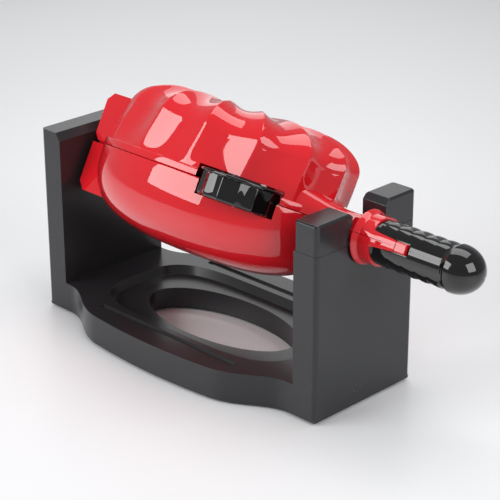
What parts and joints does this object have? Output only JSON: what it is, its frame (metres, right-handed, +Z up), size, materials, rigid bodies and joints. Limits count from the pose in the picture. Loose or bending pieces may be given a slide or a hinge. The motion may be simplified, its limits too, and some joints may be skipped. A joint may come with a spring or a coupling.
{
  "type": "electric cake maker",
  "caption": "Oval cooker head with a fluted lid that opens at its left end and flips over in a two-column stand with an oval hole in its base.",
  "frame": {"origin": "on the table, under the middle of the whole length from the stand's left face to the end of the handle", "axes": "+X towards the handle, +Y to the back, +Z up"},
  "size_m": [0.454, 0.1834, 0.2383],
  "materials": {
    "stand_metal": "gloss",
    "plate_metal": "satin",
    "foot_rubber": "matt",
    "screw_steel": "satin",
    "element_steel": "satin",
    "black_plastic": "satin",
    "head_red": "gloss",
    "latch_red": "gloss",
    "dial_plastic": "gloss",
    "mould_aluminium": "dark non-stick"
  },
  "bodies": {
    "stand": {"stand_shell": "stand_metal", "bottom_plate": "plate_metal", "front_column_cap": "stand_metal", "back_column_cap": "stand_metal", "rubber_feet": "foot_rubber", "base_screws": "screw_steel", "cord_gland": "black_plastic", "neck_bearing": "black_plastic", "trunnion_bushes": "black_plastic", "detent_bracket": "black_plastic", "detent_spring": "screw_steel"},
    "plunger": {"detent_plunger": "screw_steel"},
    "lower_head": {"lower_shell": "head_red", "lower_hinge_block": "head_red", "hinge_pin": "screw_steel", "trunnion": "screw_steel", "detent_disc": "screw_steel", "lower_mould": "mould_aluminium", "lower_mould_screws": "screw_steel", "lower_heating_element": "element_steel", "lower_reflector": "mould_aluminium", "thermostat": "black_plastic", "thermal_fuse": "black_plastic", "lower_grip": "black_plastic", "latch_spring": "screw_steel"},
    "latch": {"latch_button": "latch_red"},
    "dial_wheel": {"dial": "dial_plastic", "dial_spindle": "screw_steel"},
    "lid": {"lid_shell": "head_red", "lid_hinge_block": "head_red", "upper_mould": "mould_aluminium", "upper_mould_screws": "screw_steel", "upper_heating_element": "element_steel", "upper_reflector": "mould_aluminium", "upper_grip": "black_plastic"}
  },
  "joints": [
    {"name": "head_flip", "type": "hinge", "parent": "stand", "child": "lower_head", "pos_m": [-0.058, 0, 0.1505], "axis": [1, 0, 0], "range_deg": [-152, 28]},
    {"name": "lid_open", "type": "hinge", "parent": "lower_head", "child": "lid", "pos_m": [-0.1915, 0.01737, 0.18317], "axis": [0, -0.8829, 0.4695], "range_deg": [0, 90]},
    {"name": "dial_turn", "type": "hinge", "parent": "lower_head", "child": "dial_wheel", "pos_m": [0.0143, -0.04724, 0.17562], "axis": [0, 0.4695, 0.8829], "range_deg": [0, 270]},
    {"name": "latch_press", "type": "slide", "parent": "lower_head", "child": "latch", "axis": [0, 0.8829, -0.4695], "range_m": [0, 0.003], "stiffness_N_per_m": 800},
    {"name": "detent_press", "type": "slide", "parent": "stand", "child": "plunger", "axis": [0, 0, -1], "range_m": [0, 0.0015], "stiffness_N_per_m": 800, "deforming": ["detent_spring"]}
  ]
}
